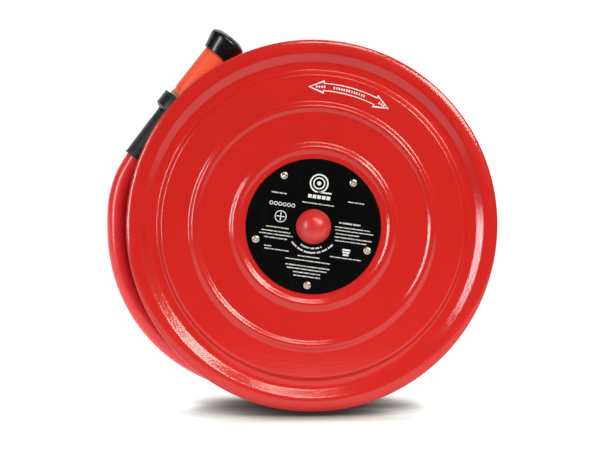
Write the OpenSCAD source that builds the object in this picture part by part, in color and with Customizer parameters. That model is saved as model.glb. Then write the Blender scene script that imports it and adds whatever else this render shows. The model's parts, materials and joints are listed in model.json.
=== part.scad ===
// Wall-mounted fire hose reel with an automatic valve in its hub and a twist nozzle on its hose.
// X points right, Z up and Y into the wall. The origin is on the wall's face, on the reel's axis.
// Parts on the reel's axis are drawn in the reel's frame: local Z is the distance out from the wall
// and local Y is up. Parts of the nozzle are drawn in the nozzle's frame: local Z runs from the
// lower lip of the grip to the tip.

/* [Side discs] */
// Outer radius of both side discs
disc_radius = 295; // [292:1:305]
// Thickness of the pressed steel sheet
sheet = 1.5; // [1:0.1:1.6]
// Distance from the wall to the rear disc's outer face
rear_face = 80; // [80:1:84]
// Clear width between the two discs
drum_width = 184; // [184:1:190]
// Height of the two pressed beads
bead_height = 4.5; // [2:0.5:6]
// Depth of the pressed groove inside the rim
groove_depth = 6.5; // [3:0.5:7]
// How far the rim stands in front of the disc's flat field
rim_rise = 2; // [0:0.5:3]
// Radius of the roll at the rim's edge
roll_radius = 4; // [3:0.25:4]

/* [Core] */
// Outer radius of the drum's core
core_radius = 125; // [124:0.5:125]
// Angle that each of the five core panels covers
panel_angle = 68; // [60:1:70]
// Pitch radius of the screws that hold the discs to the core
screw_ring = 93.5; // [92:0.5:94]
// Direction of the first of the five screws
screw_phase = 47.7; // [40:0.1:60]

/* [Hose] */
// Outer radius of the hose
hose_radius = 16.5; // [15:0.1:16.5]
// Bore radius of the hose
hose_bore = 12.6; // [12.6:0.1:13]
// Spacing of turns that lie side by side
turn_pitch = 33.6; // [33:0.1:33.6]
// Spacing of layers that lie on each other
layer_pitch = 32.8; // [31:0.1:32.8]

/* [Nozzle] */
// Direction in which the stowed nozzle points
nozzle_angle = 52; // [50:0.5:53]
// Radius of the black coupling nut
nut_radius = 30; // [28:0.5:30]
// Radius of the barrel
barrel_radius = 21.5; // [21:0.1:22]
// Radius of the bumper at its front
bumper_radius = 30; // [28:0.5:32]
// Outer radius of the rubber grip
grip_radius = 20.3; // [19.5:0.1:21]

/* [Wall bracket] */
// Width of the wall plate
plate_width = 200; // [196:1:220]
// Height of the wall plate
plate_height = 230; // [220:1:260]
// Spacing of the wall bolts across
wall_bolt_across = 166; // [164:1:170]
// Spacing of the wall bolts up and down
wall_bolt_up = 180; // [160:1:190]
// Radius of the wall bolt holes
wall_bolt_hole = 5.5; // [4.5:0.5:6]

/* [Hidden] */
$fn = 96;

// Clearances: a loose fit between fixed pieces, and the running fit of every bearing
loose = 0.1;
running = 0.05;
// Extra length that lets a cutter pass right through
past = 1;

// Stations out from the wall
plate_thickness = 5;
bracket_front = 55;
bracket_sheet = 4;
inlet_front = 65;
rear_inner = rear_face + sheet;
front_inner = rear_inner + drum_width;
front_face = front_inner + sheet;
bearing_plate = 3;
core_front = front_inner - bearing_plate;
label_front = front_face + 1;
spindle_front = 176;

// Pressings of the discs, each from one radius to another
inner_bead = [113, 136];
outer_bead = [179, 200];
groove_step = [238, 249];
rim_step = [255, 278];
front_hole = 24;
rear_hole = 42;

// Holes for M6 and M8 screws, and the radii of their shanks
m6_hole = 3.3;
m6_shank = 2.95;
m8_hole = 4.3;
m8_shank = 3.95;
m10_hole = 5.5;
m10_shank = 5;
m6_flats = 10;
m8_flats = 13;
m10_flats = 16;
hub_bolt_ring = 70;
hub_bolt_phase = screw_phase + 36;
inlet_bolt_ring = 55;

// Bearing surfaces
spindle_radius = 22;
spindle_bore = 14;
axle_radius = 10;
axle_thread = 8;
bush_seat = 26;
chamber_radius = 33;
chamber = [92, 150];

// Automatic valve
port_level = 112;
port_radius = 4;
port_count = 8;
flat_half = 19;
flats_from = 120.5;
sleeve = [103, 133];
sleeve_flats = 121;
seal_levels = [105.5, 118.5];

// Outlet of the hub, on the middle line of the fourth core panel
outlet_angle = screw_phase + 216;
outlet_level = 105;
outlet_reach = 147.5;
outlet_tilt = 15.8;
outlet_pipe = 14;
outlet_bore = 11;

// Winding: five lanes wide, four full layers and three lanes of a fifth
lane_from = rear_inner + 8;
winding_inner = core_radius + 0.4;
function lane_edge(count) = lane_from + count * turn_pitch;
function layer_radius(count) = core_radius + hose_radius + (count - 1) * layer_pitch;
full_radius = layer_radius(4) + hose_radius - 0.2;
top_radius = layer_radius(5) + hose_radius;

// The nozzle's lower lip, and the route of the free end of the hose towards it
nozzle_lip = [-280, 107, 230];
nozzle_length = 244;
tail_route = [
    [-66, -266, 207.5], [-100, -258, 208], [-140, -244.5, 210], [-180, -226, 213],
    [-217, -202, 217], [-251, -169, 221.5], [-278, -130, 225.5], [-297, -87, 228.5],
    [-307.5, -42, 229.5], [-310, 0, 230], [-308, 40, 230], [-298.5, 75, 230]
];
tail_angle = atan2(tail_route[0].y, tail_route[0].x) + 360;
tail_sides = 12;
// Stations on the nozzle
hose_stop = 34;
grip_length = 84;
nut_back = 88;
nut_shoulder = 92.6;
nut_front = 116;
barrel_back = 121.1;
bumper_back = 209.2;

// ---- helpers ----

// Reel frame: local Z out of the wall, local Y up
module on_axis() {
    rotate([90, 0, 0]) children();
}

// Nozzle frame: local Z from the grip's lip to the tip
module on_nozzle() {
    on_axis() translate(nozzle_lip) rotate([0, 90, nozzle_angle]) children();
}

// Outlet frame: local Z along the hose barb of the hub's outlet
module on_outlet() {
    on_axis() rotate([0, 0, outlet_angle]) translate([outlet_reach, 0, outlet_level])
        rotate([90, 0, -outlet_tilt]) children();
}

// Frame whose local Z points out along a radius of the reel
module on_radius(angle, level) {
    rotate([0, 0, angle]) translate([0, 0, level]) rotate([0, 90, 0]) children();
}

module on_circle(count, radius, phase = 0) {
    for (i = [0:count - 1])
        rotate([0, 0, phase + 360 * i / count]) translate([radius, 0, 0]) children();
}

module rod(radius, from, to) {
    translate([0, 0, from]) cylinder(r = radius, h = to - from);
}

module tube(inner, outer, from, to) {
    difference() {
        rod(outer, from, to);
        rod(inner, from - past, to + past);
    }
}

module hexagon(flats, from, to) {
    translate([0, 0, from]) cylinder(r = flats / 2 / cos(30), h = to - from, $fn = 6);
}

module hex_nut(flats, bore, from, to) {
    difference() {
        hexagon(flats, from, to);
        rod(bore, from - past, to + past);
    }
}

module turned(outline) {
    rotate_extrude() polygon(outline);
}

function arc(centre, radius, from, to, steps) =
    [for (i = [0:steps]) let (a = from + (to - from) * i / steps)
        centre + radius * [cos(a), sin(a)]];

// ---- wall side ----

module wall_plate() {
    corner = 12;
    color("firebrick") on_axis() difference() {
        rounded_block(plate_width, plate_height, corner, 0, plate_thickness);
        for (x = [-1, 1], y = [-1, 1])
            translate([x * wall_bolt_across / 2, y * wall_bolt_up / 2, 0])
                rod(wall_bolt_hole, -past, plate_thickness + past);
    }
}

module rounded_block(width, height, corner, from, to) {
    for (size = [[width - 2 * corner, height], [width, height - 2 * corner]])
        translate([-size.x / 2, -size.y / 2, from]) cube([size.x, size.y, to - from]);
    for (x = [-1, 1], y = [-1, 1])
        translate([x * (width / 2 - corner), y * (height / 2 - corner), 0]) rod(corner, from, to);
}

// Channel of folded sheet, open at its top and foot, with a slot that lets the inlet's port through
module support_bracket() {
    half = 65;
    height = 200;
    fold = 8;
    slot_half = 28;
    slot_foot = 40;
    outside = concat(
        [[-half, plate_thickness]],
        arc([-half + fold, bracket_front - fold], fold, 180, 90, 6),
        arc([half - fold, bracket_front - fold], fold, 90, 0, 6),
        [[half, plate_thickness]]
    );
    inside = concat(
        [[half - bracket_sheet, plate_thickness]],
        arc([half - fold, bracket_front - fold], fold - bracket_sheet, 0, 90, 6),
        arc([-half + fold, bracket_front - fold], fold - bracket_sheet, 90, 180, 6),
        [[-half + bracket_sheet, plate_thickness]]
    );
    color("firebrick") on_axis() difference() {
        translate([0, height / 2, 0]) rotate([90, 0, 0]) linear_extrude(height)
            polygon(concat(outside, inside));
        rod(slot_half, 0, bracket_front + past);
        translate([0, -slot_foot, 0]) rod(slot_half, 0, bracket_front + past);
        translate([-slot_half, -slot_foot, 0]) cube([2 * slot_half, slot_foot, bracket_front + past]);
        on_circle(4, inlet_bolt_ring, 45) rod(m10_hole, 0, bracket_front + past);
    }
}

inlet_back = 8;
port_axis = 30;
port_foot = 46;
port_thread_r = 15.15;
port_thread_length = 20;

// Brass casting: threaded port, bolting flange and hollow spindle in one piece
module inlet_body() {
    flange_radius = 69;
    body_radius = 24;
    boss_radius = 20.5;
    color("goldenrod") on_axis() difference() {
        union() {
            rod(body_radius, inlet_back, bracket_front);
            rod(flange_radius, bracket_front, inlet_front);
            rod(spindle_radius, inlet_front, spindle_front);
            translate([0, 0, port_axis]) rotate([90, 0, 0]) rod(boss_radius, 0, port_foot);
            translate([0, 0, port_axis]) rotate([90, 0, 0]) hexagon(2 * boss_radius, 30, port_foot);
        }
        rod(spindle_bore, 15, spindle_front + past);
        translate([0, 0, port_axis]) rotate([90, 0, 0]) {
            rod(13, 0, port_foot);
            rod(port_thread_r, port_foot - port_thread_length, port_foot + past);
        }
        for (i = [0:port_count - 1])
            on_radius(360 * (i + 0.5) / port_count, port_level) rod(port_radius, 0, spindle_radius + past);
        for (side = [0, 180])
            rotate([0, 0, side]) translate([flat_half, -spindle_radius, flats_from])
                cube([spindle_radius, 2 * spindle_radius, 149 - flats_from]);
        on_circle(4, inlet_bolt_ring, 45) rod(m10_hole, 0, inlet_front + past);
    }
}

module inlet_bolts() {
    color("silver") on_axis() on_circle(4, inlet_bolt_ring, 45) {
        rod(m10_shank, 40, inlet_front);
        hexagon(m10_flats, inlet_front, inlet_front + 6.4);
    }
}

module inlet_nuts() {
    color("silver") on_axis() on_circle(4, inlet_bolt_ring, 45)
        hex_nut(m10_flats, m10_shank + loose, bracket_front - bracket_sheet - 8, bracket_front - bracket_sheet);
}

module thrust_washer() {
    color("ivory") on_axis() tube(spindle_radius + 0.3, 38, inlet_front, inlet_front + 1.8);
}

module axle_rod() {
    collar = 4;
    color("lightgray") on_axis() {
        rod(spindle_bore - running, spindle_front - 20, spindle_front);
        rod(spindle_radius - loose, spindle_front, spindle_front + collar);
        rod(axle_radius, spindle_front + collar, front_face + 0.7);
        rod(axle_thread, front_face + 0.7, front_face + 15);
    }
}

module axle_washer() {
    color("silver") on_axis() tube(axle_thread + 0.2, 15, front_face + 0.8, front_face + 2.8);
}

module axle_nut() {
    color("silver") on_axis() hex_nut(24, axle_thread + loose, front_face + 2.8, front_face + 14);
}

// ---- automatic valve ----

// Sleeve that covers the spindle's ports; its front bore has two flats that stop it from turning
module valve_sleeve() {
    bore = spindle_radius + running;
    groove = bore + 1.9;
    color("darkkhaki") on_axis() difference() {
        union() {
            rod(27.5, sleeve[0], sleeve[1]);
            rod(chamber_radius - 0.4, 109, 115);
        }
        rod(bore, sleeve[0] - past, sleeve_flats);
        for (level = seal_levels)
            rod(groove, level - 1.3, level + 1.3);
        intersection() {
            rod(bore, sleeve_flats - past, sleeve[1] + past);
            translate([-flat_half - 0.3, -spindle_radius - past, sleeve_flats - past])
                cube([2 * flat_half + 0.6, 2 * spindle_radius + 2 * past, sleeve[1] - sleeve_flats + 2 * past]);
        }
    }
}

module valve_seals() {
    color("dimgray") on_axis()
        for (level = seal_levels)
            tube(spindle_radius + running, spindle_radius + 1.9, level - 1.2, level + 1.2);
}

// ---- discs ----

function bead(r, span) =
    r <= span[0] || r >= span[1] ? 0
    : bead_height * (1 - cos(360 * (r - span[0]) / (span[1] - span[0]))) / 2;
function ramp(r, span) =
    r <= span[0] ? 0 : r >= span[1] ? 1
    : (1 - cos(180 * (r - span[0]) / (span[1] - span[0]))) / 2;
function disc_height(r) =
    bead(r, inner_bead) + bead(r, outer_bead)
    - groove_depth * ramp(r, groove_step)
    + (groove_depth + rim_rise) * ramp(r, rim_step);
function steps_over(span, count) = [for (i = [0:count]) span[0] + (span[1] - span[0]) * i / count];

// Pressed disc with two beads, a groove and a rolled rim; its outer face is at height 0
module pressed_disc(hole) {
    radii = concat(
        [hole],
        steps_over(inner_bead, 10), steps_over(outer_bead, 10),
        steps_over(groove_step, 6), steps_over(rim_step, 9),
        [disc_radius - roll_radius]
    );
    last = len(radii) - 1;
    turned(concat(
        [for (r = radii) [r, disc_height(r)]],
        [for (i = [last:-1:0]) [radii[i], disc_height(radii[i]) - sheet]]
    ));
    rotate_extrude() translate([disc_radius - roll_radius, rim_rise - roll_radius]) circle(roll_radius);
}

module rear_disc() {
    color("red") on_axis() difference() {
        translate([0, 0, rear_face]) mirror([0, 0, 1]) pressed_disc(rear_hole);
        on_circle(5, screw_ring, screw_phase) rod(m6_hole, rear_face - past, rear_inner + past);
        on_circle(5, hub_bolt_ring, hub_bolt_phase) rod(m8_hole, rear_face - past, rear_inner + past);
    }
}

module front_disc() {
    color("red") on_axis() difference() {
        translate([0, 0, front_face]) pressed_disc(front_hole);
        on_circle(5, screw_ring, screw_phase) rod(m6_hole, front_inner - past, front_face + past);
    }
}

// ---- core ----

// One fifth of the core: a curved wall with a flange turned inward at each end
module core_panel(index) {
    middle = screw_phase + 72 * index;
    lip = 86;
    color("crimson") on_axis() difference() {
        rotate([0, 0, middle - panel_angle / 2]) rotate_extrude(angle = panel_angle) polygon([
            [lip, rear_inner], [core_radius, rear_inner], [core_radius, core_front],
            [lip, core_front], [lip, core_front - sheet], [core_radius - sheet, core_front - sheet],
            [core_radius - sheet, rear_inner + sheet], [lip, rear_inner + sheet]
        ]);
        rotate([0, 0, middle]) translate([screw_ring, 0, 0])
            rod(m6_hole, rear_inner - past, core_front + past);
        if (index == 3)
            on_radius(outlet_angle, outlet_level) rod(19, core_radius - 15, core_radius + past);
    }
}

module front_bearing_plate() {
    color("firebrick") on_axis() difference() {
        union() {
            rod(110, core_front, front_inner);
            rod(18, core_front - 24, core_front);
        }
        rod(spindle_bore, core_front - 25, front_inner + past);
        on_circle(5, screw_ring, screw_phase) rod(m6_hole, core_front - past, front_inner + past);
    }
}

module front_bush() {
    color("ivory") on_axis() {
        tube(axle_radius + running, spindle_bore - 0.03, core_front - 24, front_inner);
        tube(axle_radius + running, 20, front_inner, front_inner + 2);
    }
}

// ---- hub ----

module hub_body() {
    color("lightsteelblue") on_axis() difference() {
        union() {
            rod(40, inlet_front + 2, rear_inner);
            rod(84, rear_inner, rear_inner + 8);
            rod(41, rear_inner + 8, chamber[1]);
            rod(52, chamber[1] - 10, chamber[1]);
            on_radius(outlet_angle, outlet_level) rod(19, 30, 54);
        }
        rod(bush_seat, inlet_front, chamber[0]);
        rod(chamber_radius, chamber[0], chamber[1] + past);
        on_radius(outlet_angle, outlet_level) {
            rod(outlet_bore, 30, 40);
            rod(outlet_pipe + loose, 37, 55);
        }
        on_circle(5, hub_bolt_ring, hub_bolt_phase) rod(m8_hole, rear_inner - past, rear_inner + 9);
        on_circle(6, 46.5) rod(m6_hole, chamber[1] - 11, chamber[1] + past);
    }
}

module hub_cap() {
    color("lightsteelblue") on_axis() difference() {
        union() {
            rod(52, chamber[1], chamber[1] + 8);
            rod(36, chamber[1] + 8, spindle_front);
        }
        rod(bush_seat, chamber[1] - past, spindle_front + past);
        on_circle(6, 46.5) rod(m6_hole, chamber[1] - past, chamber[1] + 9);
    }
}

module hub_cap_screws() {
    color("silver") on_axis() on_circle(6, 46.5) {
        rod(m6_shank, chamber[1] - 10, chamber[1] + 8);
        difference() {
            rod(5, chamber[1] + 8, chamber[1] + 14);
            hexagon(5, chamber[1] + 11, chamber[1] + 15);
        }
    }
}

module hub_bush(from, to) {
    color("ivory") on_axis() tube(spindle_radius + running, bush_seat - 0.03, from, to);
}

module hub_bush_rear() {
    hub_bush(inlet_front + 2, chamber[0] - 4);
}

module hub_bush_front() {
    hub_bush(chamber[1] + 5, spindle_front);
}

module hub_seals() {
    color("dimgray") on_axis()
        for (from = [chamber[0] - 3.5, chamber[1] + 1])
            tube(spindle_radius + running, bush_seat - loose, from, from + 3);
}

module hub_bolts() {
    color("silver") on_axis() on_circle(5, hub_bolt_ring, hub_bolt_phase) {
        rod(m8_shank, rear_face, rear_inner + 18);
        hexagon(m8_flats, rear_face - 5.3, rear_face);
    }
}

module hub_nuts() {
    color("silver") on_axis() on_circle(5, hub_bolt_ring, hub_bolt_phase)
        hex_nut(m8_flats, m8_shank + loose, rear_inner + 8, rear_inner + 14.5);
}

// ---- outlet to the hose ----

// Pipe out of the hub through the core, with a knuckle and a hose barb
module outlet_elbow() {
    color("goldenrod") difference() {
        union() {
            on_axis() on_radius(outlet_angle, outlet_level) {
                rod(outlet_pipe, 38, outlet_reach);
                rotate([0, 0, 30]) hexagon(30, 54.2, 62);
            }
            on_outlet() {
                sphere(r = 14.4);
                rod(11.6, 0, 39.5);
                for (from = [19, 26, 33])
                    translate([0, 0, from]) cylinder(r1 = 12.4, r2 = 11.6, h = 6);
            }
        }
        on_axis() on_radius(outlet_angle, outlet_level) rod(outlet_bore, 37, outlet_reach);
        on_outlet() rod(9, 0, 41);
    }
}

module outlet_grommet() {
    wall = core_radius - sheet;
    color("dimgray") on_axis() on_radius(outlet_angle, outlet_level) {
        tube(outlet_pipe + loose, 18.8, wall - 3.5, wall - 0.1);
        tube(outlet_pipe + loose, 22, wall - 5, wall - 2.2);
    }
}

hose_start_from = 19.5;
clamp_from = 23.5;
clamp_to = 35.5;
hose_start_end = 40;

module outlet_clamp() {
    band = hose_radius - 0.8;
    color("silver") on_outlet() {
        tube(band, hose_radius, clamp_from + 0.5, clamp_to - 0.5);
        translate([-4, -hose_radius - 3, clamp_from + 3]) cube([8, 3.4, 8]);
    }
}

// ---- screws, label and boss on the drum ----

module pan_head_screw(face, length) {
    head = 6.2;
    rise = 3.6;
    rod(m6_shank, face - length, face);
    difference() {
        translate([0, 0, face]) turned(concat(
            [[0, 0], [head, 0], [head, 1.2]],
            arc([head - 2.4, 1.2], 2.4, 0, 90, 5),
            [[0, rise]]
        ));
        for (turn = [0, 90])
            rotate([0, 0, turn]) translate([-3, -0.6, face + rise - 1.6]) cube([6, 1.2, 2]);
    }
}

module label_plate() {
    color("black") on_axis() difference() {
        tube(front_hole, 107.5, front_face, label_front);
        on_circle(5, screw_ring, screw_phase) rod(m6_hole, front_face - past, label_front + past);
    }
}

module label_screws() {
    color("lightgoldenrodyellow") on_axis() on_circle(5, screw_ring, screw_phase)
        pan_head_screw(label_front, 18);
}

module label_nuts() {
    color("silver") on_axis() on_circle(5, screw_ring, screw_phase)
        hex_nut(m6_flats, m6_shank + loose, core_front - sheet - 5, core_front - sheet);
}

module rear_screws() {
    color("silver") on_axis() on_circle(5, screw_ring, screw_phase) {
        rod(m6_shank, rear_face, rear_inner + 9);
        hexagon(m6_flats, rear_face - 4, rear_face);
    }
}

module rear_nuts() {
    color("silver") on_axis() on_circle(5, screw_ring, screw_phase)
        hex_nut(m6_flats, m6_shank + loose, rear_inner + sheet, rear_inner + sheet + 5);
}

// Domed cap that snaps into the label plate over the axle nut
module centre_boss() {
    base = 28;
    rise = 21;
    wall = 2;
    dome = (base * base + rise * rise) / (2 * rise);
    edge = asin((dome - rise) / dome);
    inner_edge = acos((base - wall) / (dome - wall));
    sunk = (dome - wall) * sin(inner_edge) - (dome - rise);
    color("red") on_axis() translate([0, 0, label_front]) {
        turned(concat(
            arc([0, rise - dome], dome, edge, 90, 12),
            arc([0, rise - dome - sunk], dome - wall, 90, inner_edge, 12)
        ));
        tube(21.5, front_hole - 0.3, -2, 0.5);
        tube(21.5, base - wall + 0.5, 0, 0.8);
    }
}

// ---- hose ----

module hose_start() {
    band = hose_radius - 0.9;
    color("red") on_outlet() turned([
        [hose_bore, hose_start_from], [hose_radius, hose_start_from],
        [hose_radius, clamp_from], [band, clamp_from],
        [band, clamp_to], [hose_radius, clamp_to], [hose_radius, hose_start_end],
        [hose_bore, hose_start_end]
    ]);
}

// Outer shape of the four full layers of the coil, with a pocket round the outlet elbow
module hose_winding() {
    pocket_foot = [-34, -21, -26];
    pocket_top = [17.4, 17.2, hose_start_end];
    color("red") difference() {
        on_axis() tube(winding_inner, full_radius, lane_edge(0), lane_edge(5));
        on_outlet() translate(pocket_foot) cube(pocket_top - pocket_foot);
    }
}

// Fifth layer of the coil: three lanes all round and a fourth where the free end leaves
module hose_outer_layer() {
    last_lane = 60;
    sunk = 2;
    inside = full_radius + 0.05;
    color("red") on_axis() {
        tube(inside, top_radius, lane_edge(0), lane_edge(3));
        rotate([0, 0, tail_angle]) rotate_extrude(angle = last_lane) polygon([
            [inside + 0.2, lane_edge(3) - sunk], [top_radius - 0.2, lane_edge(3) - sunk],
            [top_radius - 0.2, lane_edge(4)], [inside + 0.2, lane_edge(4)]
        ]);
    }
}

function nozzle_point(z) = nozzle_lip + z * [cos(nozzle_angle), sin(nozzle_angle), 0];
function unit(v) = v / norm(v);
tail_points = concat(tail_route, [for (z = [-4, 10, hose_stop]) nozzle_point(z)]);
function tail_direction(i) =
    i == 0 ? [sin(tail_angle), -cos(tail_angle), 0]
    : i == len(tail_points) - 1 ? unit(nozzle_point(1) - nozzle_point(0))
    : unit(tail_points[i + 1] - tail_points[i - 1]);
function tail_ring(i) =
    let (forward = tail_direction(i), side = unit(cross(forward, [0, 0, 1])), up = cross(side, forward))
    [for (k = [0:tail_sides - 1]) let (a = 360 * (k + 0.5) / tail_sides)
        tail_points[i] + hose_radius * (cos(a) * side + sin(a) * up)];

// Free end of the hose, from the winding to the barb inside the grip
module hose_tail() {
    count = len(tail_points);
    n = tail_sides;
    sides = [for (i = [0:count - 2], k = [0:n - 1])
        [i * n + k, i * n + (k + 1) % n, (i + 1) * n + (k + 1) % n, (i + 1) * n + k]];
    caps = [[for (k = [n - 1:-1:0]) k], [for (k = [0:n - 1]) (count - 1) * n + k]];
    color("red") on_axis() polyhedron(
        points = [for (i = [0:count - 1]) each tail_ring(i)],
        faces = concat(sides, caps)
    );
}

module hose_end() {
    color("red") on_nozzle() tube(hose_bore, hose_radius, hose_stop, grip_length);
}

// ---- nozzle ----

module nozzle_hose_barb() {
    color("goldenrod") on_nozzle() difference() {
        union() {
            rod(11.6, hose_stop + 0.5, grip_length);
            for (from = [40, 50, 60, 70])
                translate([0, 0, from]) cylinder(r1 = 11.6, r2 = 12.4, h = 6);
            rod(17, grip_length + 0.2, nut_shoulder + 0.3);
            rod(11.6, grip_length - past, grip_length + past);
            rod(24.5, nut_shoulder + 0.2, 98);
        }
        rod(9.5, hose_stop, 99);
    }
}

function grip_outer(z) = grip_radius + 1.3 * z / grip_length;
function grip_rib(z) = [
    [grip_outer(z), z], [grip_outer(z) + 0.6, z + 0.7],
    [grip_outer(z) + 0.6, z + 1.5], [grip_outer(z), z + 2.2]
];

// Rubber sleeve over the end of the hose, ribbed across
module nozzle_grip() {
    bore = hose_radius + 0.15;
    lip = grip_radius + 1.2;
    color("dimgray") on_nozzle() turned(concat(
        [[bore, 0], [lip, 0], [lip, 2], [grip_outer(3), 3]],
        [for (i = [0:13]) each grip_rib(8 + 4 * i)],
        [[grip_outer(grip_length), grip_length], [bore, grip_length]]
    ));
}

module grip_ring() {
    color("gainsboro") on_nozzle() tube(17.1, 21.9, grip_length + 0.2, nut_back - 0.2);
}

module coupling_nut() {
    color("black") on_nozzle() turned([
        [17.3, nut_back], [23, nut_back], [nut_radius, nut_back + 4.5], [nut_radius, nut_front - 1],
        [nut_radius - 1, nut_front], [25.2, nut_front], [25.2, nut_shoulder], [17.3, nut_shoulder]
    ]);
}

module nozzle_seal() {
    color("dimgray") on_nozzle() tube(10, 24, 98, 100);
}

// Fixed tube that screws into the coupling nut; the barrel turns on it
module nozzle_base() {
    color("goldenrod") on_nozzle() turned([
        [9.5, 100], [25.1, 100], [25.1, 114], [15, 114], [15, 182.9], [13.8, 182.9], [13.8, 185.1],
        [15, 185.1], [15, 197], [11, 197], [11, 138], [9.5, 136]
    ]);
}

module nozzle_thrust_ring() {
    color("tan") on_nozzle() turned([
        [15.2, 114.1], [24.8, 114.1], [24.8, nut_front], [21.8, nut_front],
        [21.8, barrel_back - 0.3], [15.2, barrel_back - 0.3]
    ]);
}

module barrel_ring() {
    color("silver") on_nozzle() tube(13.9, 16.2, 183, 185);
}

module nozzle_barrel() {
    bore = 15 + running;
    color("orangered") on_nozzle() turned([
        [bore, barrel_back], [barrel_radius - 0.3, barrel_back], [barrel_radius, barrel_back + 0.6],
        [barrel_radius, barrel_back + 3], [barrel_radius - 0.9, barrel_back + 3.9],
        [barrel_radius - 0.9, barrel_back + 9.5], [barrel_radius + 0.2, barrel_back + 10.6],
        [barrel_radius - 0.1, bumper_back - 0.2], [17, bumper_back - 0.2], [17, 238], [15.8, 238],
        [9, 206], [9, 198.5], [bore, 198], [bore, 185.4], [16.6, 185.4], [16.6, 182.6], [bore, 182.6]
    ]);
}

module nozzle_bumper() {
    nose = 7;
    color("black") on_nozzle() turned(concat(
        [[17 + running, bumper_back], [24.5, bumper_back], [bumper_radius, 235]],
        arc([bumper_radius - nose, 235], nose, 0, 62, 6),
        [[22, nozzle_length - 0.4], [19.5, nozzle_length], [17 + running, 239]]
    ));
}

// Plug, rod and guide that slide inside the nozzle; the guide has three water ways
module nozzle_stem() {
    color("silver") on_nozzle() difference() {
        union() {
            rod(10.92, 150, 164);
            rod(5, 160, 197);
            rod(8.92, 196, 206);
            translate([0, 0, 206]) cylinder(r1 = 8.92, r2 = 3, h = 8);
        }
        on_circle(3, 7.2) rod(2.4, 149, 165);
        tube(7.6, 10, 201, 203.4);
    }
}

module stem_seal() {
    color("dimgray") on_nozzle() tube(7.65, 8.95, 201.1, 203.3);
}

wall_plate();
support_bracket();
inlet_body();
inlet_bolts();
inlet_nuts();
thrust_washer();
axle_rod();
axle_washer();
axle_nut();
valve_sleeve();
valve_seals();
rear_disc();
front_disc();
core_panel(0);  // core_panel_1
core_panel(1);  // core_panel_2
core_panel(2);  // core_panel_3
core_panel(3);  // core_panel_4
core_panel(4);  // core_panel_5
hub_body();
hub_cap();
hub_cap_screws();
hub_bush_rear();
hub_bush_front();
hub_seals();
hub_bolts();
hub_nuts();
front_bearing_plate();
front_bush();
outlet_elbow();
outlet_grommet();
outlet_clamp();
label_plate();
label_screws();
label_nuts();
rear_screws();
rear_nuts();
centre_boss();
hose_start();
hose_winding();
hose_outer_layer();
hose_tail();
hose_end();
nozzle_hose_barb();
nozzle_grip();
grip_ring();
coupling_nut();
nozzle_seal();
nozzle_base();
nozzle_thrust_ring();
barrel_ring();
nozzle_barrel();
nozzle_bumper();
nozzle_stem();
stem_seal();
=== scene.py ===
"""The finished look of a wall-mounted fire hose reel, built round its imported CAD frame.

Sizes and places are in millimetres in the reel's own frame: x to the right, y up and z out from
the wall. The matrices REEL and NOZZLE put them into the scene, in metres.
"""

import json
import math
import random

import bmesh
import bpy
from mathutils import Matrix, Vector


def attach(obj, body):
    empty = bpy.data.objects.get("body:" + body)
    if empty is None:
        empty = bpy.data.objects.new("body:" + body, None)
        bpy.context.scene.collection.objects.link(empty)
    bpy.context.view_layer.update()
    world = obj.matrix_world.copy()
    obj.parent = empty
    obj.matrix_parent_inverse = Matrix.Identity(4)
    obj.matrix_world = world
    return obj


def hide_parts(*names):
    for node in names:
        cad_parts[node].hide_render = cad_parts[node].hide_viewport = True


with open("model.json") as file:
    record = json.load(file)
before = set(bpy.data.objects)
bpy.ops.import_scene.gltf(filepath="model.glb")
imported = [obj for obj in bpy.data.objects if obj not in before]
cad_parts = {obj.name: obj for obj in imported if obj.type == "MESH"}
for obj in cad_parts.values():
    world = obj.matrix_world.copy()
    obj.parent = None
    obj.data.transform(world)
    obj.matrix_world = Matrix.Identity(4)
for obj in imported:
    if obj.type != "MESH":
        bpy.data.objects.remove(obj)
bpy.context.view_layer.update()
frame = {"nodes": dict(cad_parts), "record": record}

MM = 0.001

# ---- the driving sizes of the CAD model ----

DISC_RADIUS = 295
SHEET = 1.5
REAR_FACE = 80
DRUM_WIDTH = 184
FRONT_FACE = REAR_FACE + SHEET + DRUM_WIDTH + SHEET
LABEL_FRONT = FRONT_FACE + 1
LABEL_RADIUS = 107.5
BEAD_HEIGHT = 4.5
GROOVE_DEPTH = 6.5
RIM_RISE = 2
ROLL_RADIUS = 4
INNER_BEAD = (113, 136)
OUTER_BEAD = (179, 200)
GROOVE_STEP = (238, 249)
RIM_STEP = (255, 278)
FRONT_HOLE = 24
REAR_HOLE = 42
CORE_RADIUS = 125
SCREW_RING = 93.5
SCREW_PHASE = 47.7
HOSE_RADIUS = 16.5
TURN_PITCH = 33.6
LAYER_PITCH = 32.8
FIRST_LANE = 106.3
OUTLET_ANGLE = SCREW_PHASE + 216
OUTLET_LEVEL = 105
OUTLET_REACH = 147.5
OUTLET_TILT = 15.8
HOSE_FROM = 19.5
HOSE_STRAIGHT = 40
LIP = (-280, 107, 230)
NOZZLE_ANGLE = 52
GRIP_LENGTH = 84
NUT_BACK = 88
NUT_FRONT = 116
BARREL_BACK = 121.1
BUMPER_BACK = 209.2
NOZZLE_LENGTH = 244
BARREL_RADIUS = 21.5
BUMPER_RADIUS = 30
GRIP_RADIUS = 20.3
NUT_RADIUS = 30

# ---- places and small helpers ----


def rotation(degrees, axis):
    return Matrix.Rotation(math.radians(degrees), 4, axis)


REEL = Matrix(((MM, 0, 0, 0), (0, 0, -MM, 0), (0, MM, 0, 0), (0, 0, 0, 1)))
NOZZLE = REEL @ Matrix.Translation(LIP) @ rotation(NOZZLE_ANGLE, "Z") @ rotation(90, "Y")


def on_ring(radius, angle, level):
    """The frame of something on a ring about the reel's axis, with its own z along that axis."""
    return REEL @ rotation(angle, "Z") @ Matrix.Translation((radius, 0, level))


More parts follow.
